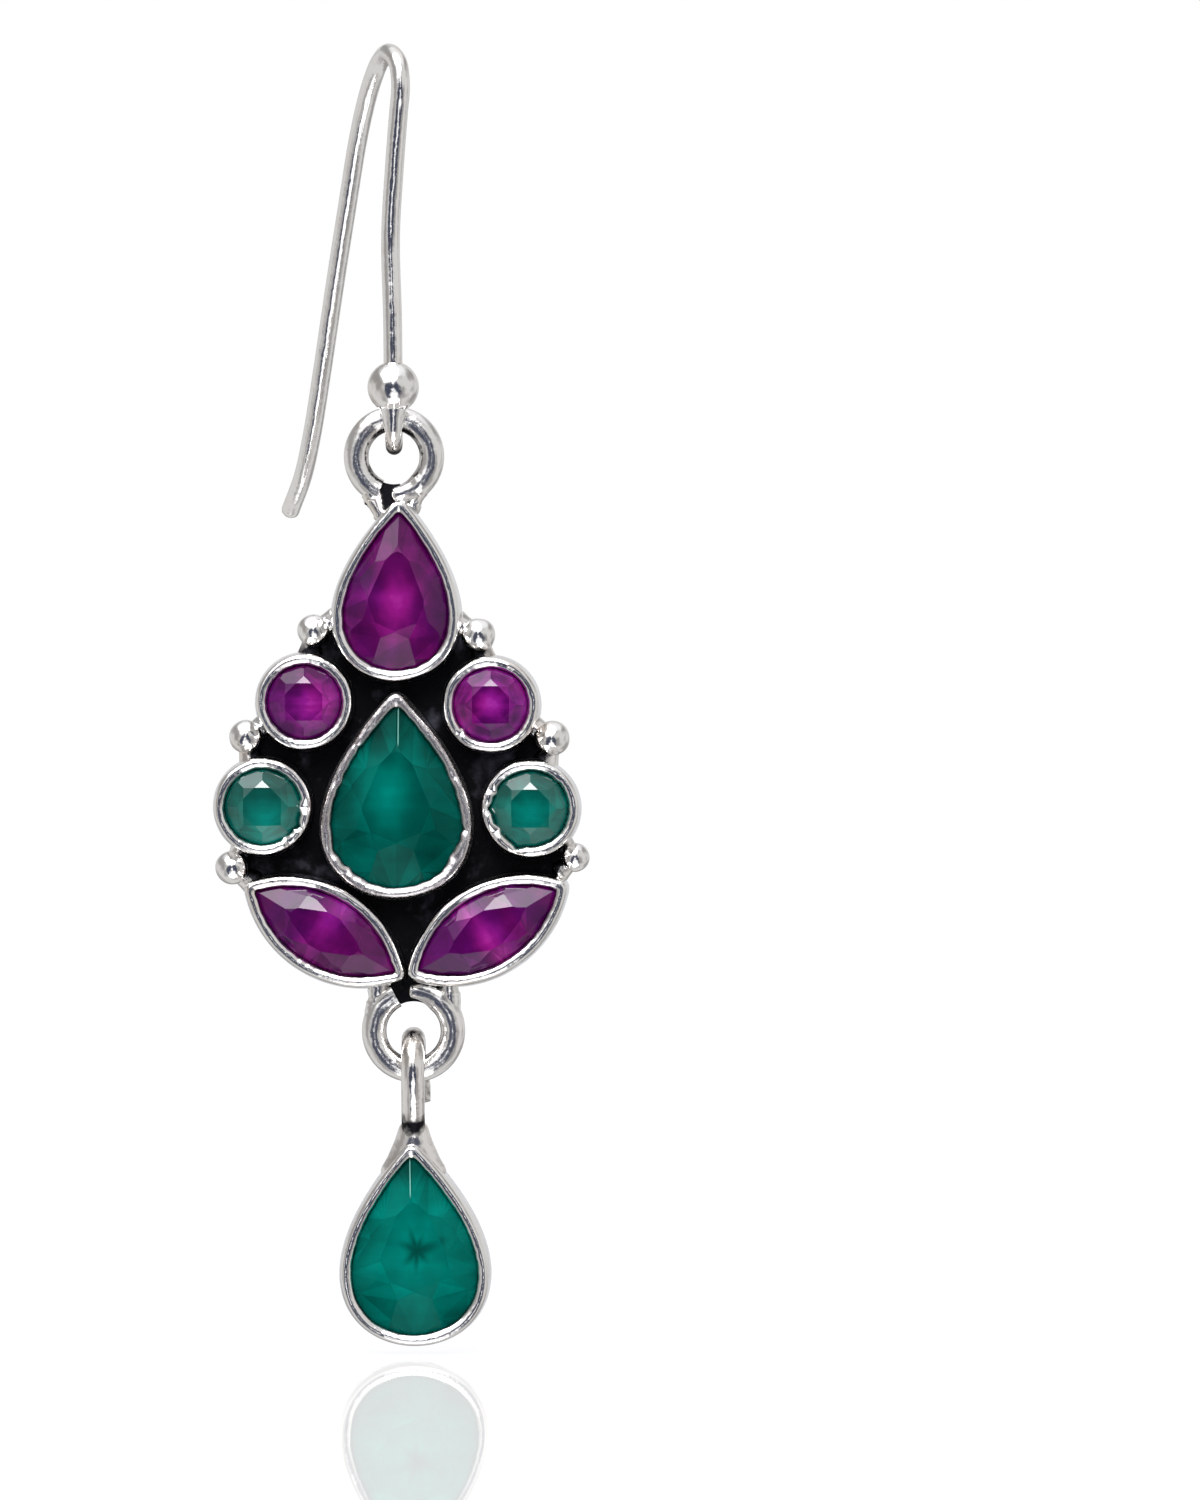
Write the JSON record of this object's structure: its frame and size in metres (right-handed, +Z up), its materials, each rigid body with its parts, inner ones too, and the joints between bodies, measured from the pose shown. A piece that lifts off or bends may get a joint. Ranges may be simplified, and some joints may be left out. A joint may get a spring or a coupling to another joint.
{
  "type": "drop earring",
  "caption": "Left drop earring: ear hook, cluster of bezel-set pear, round and marquise stones, and a hanging pear drop.",
  "frame": {"origin": "inside top of the ear hook's bend, where the wire rests in the ear", "axes": "+Z up along the hanging earring, -Y towards the viewer of its front, +X to the viewer's right"},
  "size_m": [0.0161, 0.0126, 0.0555],
  "materials": {
    "silver": "polished silver, oxidised black in the recesses",
    "purple_stone": "polished, faceted",
    "green_stone": "polished, faceted"
  },
  "bodies": {
    "hook": {"ear_hook": "silver"},
    "cluster": {"cluster_setting": "silver", "top_pear_stone": "purple_stone", "left_upper_round_stone": "purple_stone", "right_upper_round_stone": "purple_stone", "centre_pear_stone": "green_stone", "left_lower_round_stone": "green_stone", "right_lower_round_stone": "green_stone", "left_marquise_stone": "purple_stone", "right_marquise_stone": "purple_stone"},
    "drop": {"drop_setting": "silver", "drop_stone": "green_stone"}
  },
  "joints": [
    {"name": "cluster_swing", "type": "hinge", "parent": "hook", "child": "cluster", "pos_m": [0.00017, 0.00078, -0.01627], "axis": [0, 1, 0], "range_deg": [-60, 60]},
    {"name": "drop_swing", "type": "hinge", "parent": "cluster", "child": "drop", "pos_m": [0.00103, 0.00078, -0.04141], "axis": [0, 1, 0], "range_deg": [-75, 75]}
  ]
}
